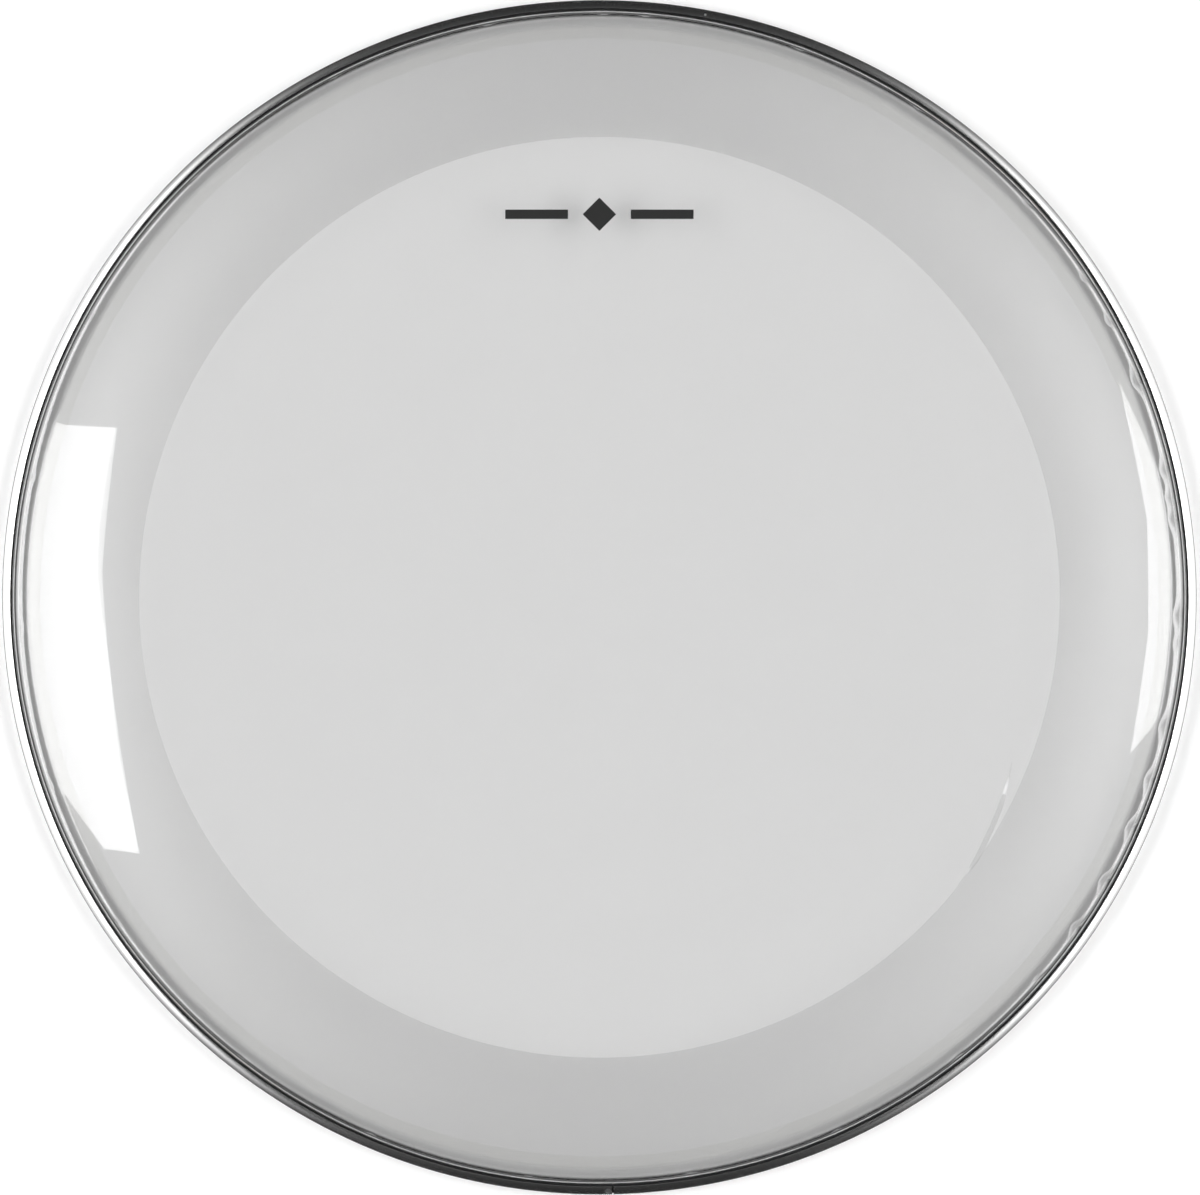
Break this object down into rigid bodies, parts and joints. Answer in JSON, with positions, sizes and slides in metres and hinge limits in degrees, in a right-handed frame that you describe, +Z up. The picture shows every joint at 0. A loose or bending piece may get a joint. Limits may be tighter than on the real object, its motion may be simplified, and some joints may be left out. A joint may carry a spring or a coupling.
{
  "type": "drum head",
  "caption": "Clear bass drum head: formed polyester film with a muffle ring under its edge, its skirt locked by cast resin in a round aluminium channel hoop that slips over a drum shell.",
  "frame": {"origin": "centre of the flat foot of the hoop, in the plane that the head rests on", "axes": "+Z up through the film to the playing side; the hoop's butt joint is near -Y"},
  "size_m": [0.574, 0.5739, 0.0178],
  "materials": {
    "hoop_aluminium": "bright rolled aluminium with fine lengthwise lines",
    "clear_film": "clear polyester film, glossy",
    "ring_film": "clear polyester film, glossy",
    "clear_adhesive": "clear cured adhesive",
    "cast_resin": "dark grey cast resin"
  },
  "bodies": {
    "root": {"flesh_hoop": "hoop_aluminium", "batter_film": "clear_film", "muffle_ring": "ring_film", "ring_adhesive": "clear_adhesive", "hoop_resin": "cast_resin"}
  },
  "joints": []
}
